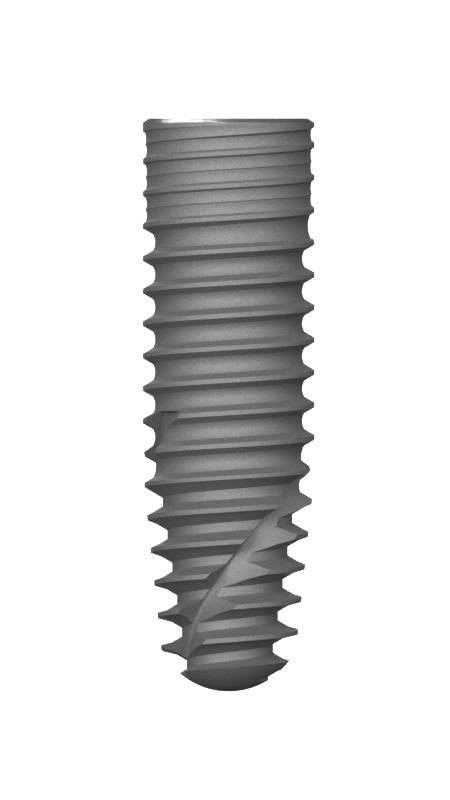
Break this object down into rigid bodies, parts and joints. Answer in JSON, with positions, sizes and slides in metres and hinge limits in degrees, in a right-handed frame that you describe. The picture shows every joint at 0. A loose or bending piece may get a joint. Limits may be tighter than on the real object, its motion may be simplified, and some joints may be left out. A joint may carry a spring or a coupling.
{
  "type": "dental implant",
  "caption": "Screw-shaped titanium bone implant with a finely grooved collar, coarse thread, tapered self-tapping tip and internal hexagon socket.",
  "frame": {"origin": "centre of the platform face, which the part stands on", "axes": "+Z along the screw axis from the platform to the tip, so the part stands on its platform"},
  "size_m": [0.0042, 0.0042, 0.014],
  "materials": {
    "blasted_titanium": "grit-blasted and etched titanium, matte, with a machined outer bevel and socket"
  },
  "bodies": {
    "root": {"implant_fixture": "blasted_titanium"}
  },
  "joints": []
}
